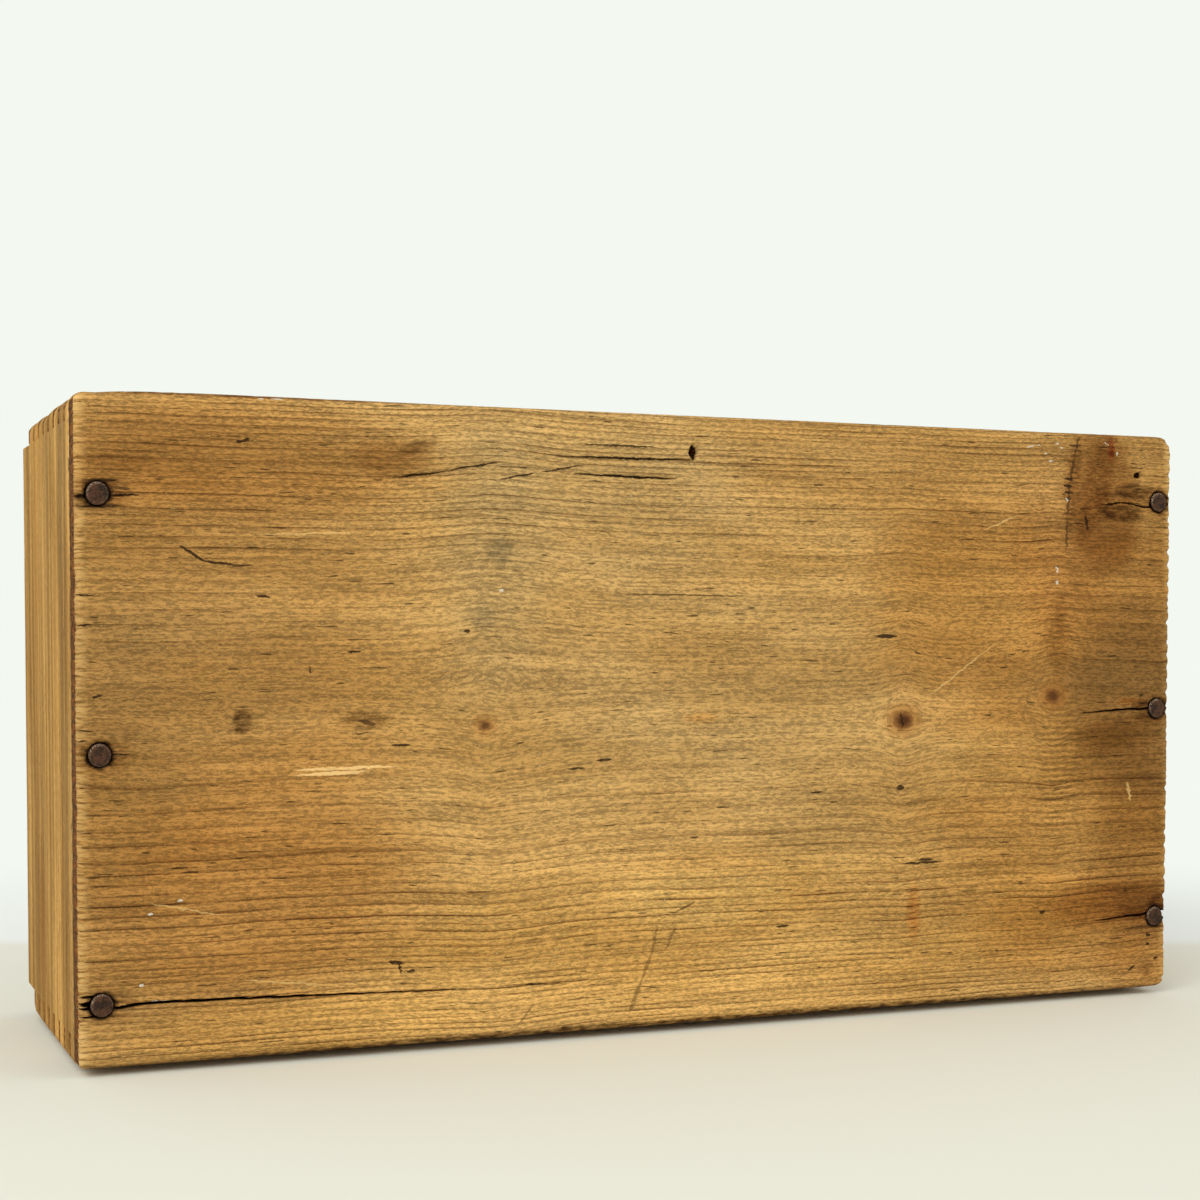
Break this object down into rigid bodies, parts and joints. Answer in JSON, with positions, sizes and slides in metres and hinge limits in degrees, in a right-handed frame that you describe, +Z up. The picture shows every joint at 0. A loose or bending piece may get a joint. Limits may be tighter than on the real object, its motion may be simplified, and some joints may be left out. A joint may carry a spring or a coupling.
{
  "type": "advertising crate",
  "caption": "Shallow old finger-jointed softwood crate with a nailed bottom board and a hinged lid let in between its ends.",
  "frame": {"origin": "under the middle of the crate, on the surface it stands on", "axes": "+X along the crate's length, +Y from its bottom board to its lid, +Z up across its width as it stands on its front side"},
  "size_m": [0.4, 0.123, 0.2114],
  "materials": {
    "bottom_pine": "worn, aged and stained round the nails",
    "end_pine": "worn, aged, grain upright",
    "side_pine": "worn, aged",
    "lid_pine": "worn, aged",
    "nail_iron": "rusted brown-black",
    "hinge_iron": "aged, rust-freckled",
    "screw_iron": "aged, worn bright at the slots"
  },
  "bodies": {
    "crate": {"bottom_board": "bottom_pine", "left_end": "end_pine", "right_end": "end_pine", "front_side": "side_pine", "rear_side": "side_pine", "left_lower_nail": "nail_iron", "left_middle_nail": "nail_iron", "left_upper_nail": "nail_iron", "right_lower_nail": "nail_iron", "right_middle_nail": "nail_iron", "right_upper_nail": "nail_iron", "left_hinge_side_leaf": "hinge_iron", "right_hinge_side_leaf": "hinge_iron", "left_hinge_pin": "hinge_iron", "right_hinge_pin": "hinge_iron", "left_hinge_side_screw_1": "screw_iron", "left_hinge_side_screw_2": "screw_iron", "right_hinge_side_screw_1": "screw_iron", "right_hinge_side_screw_2": "screw_iron"},
    "lid": {"lid_board": "lid_pine", "left_hinge_lid_leaf": "hinge_iron", "right_hinge_lid_leaf": "hinge_iron", "left_hinge_lid_screw_1": "screw_iron", "left_hinge_lid_screw_2": "screw_iron", "right_hinge_lid_screw_1": "screw_iron", "right_hinge_lid_screw_2": "screw_iron"}
  },
  "joints": [
    {"name": "lid_hinge", "type": "hinge", "parent": "crate", "child": "lid", "pos_m": [0, 0.04885, 0.20885], "axis": [1, 0, 0], "range_deg": [0, 170]}
  ]
}
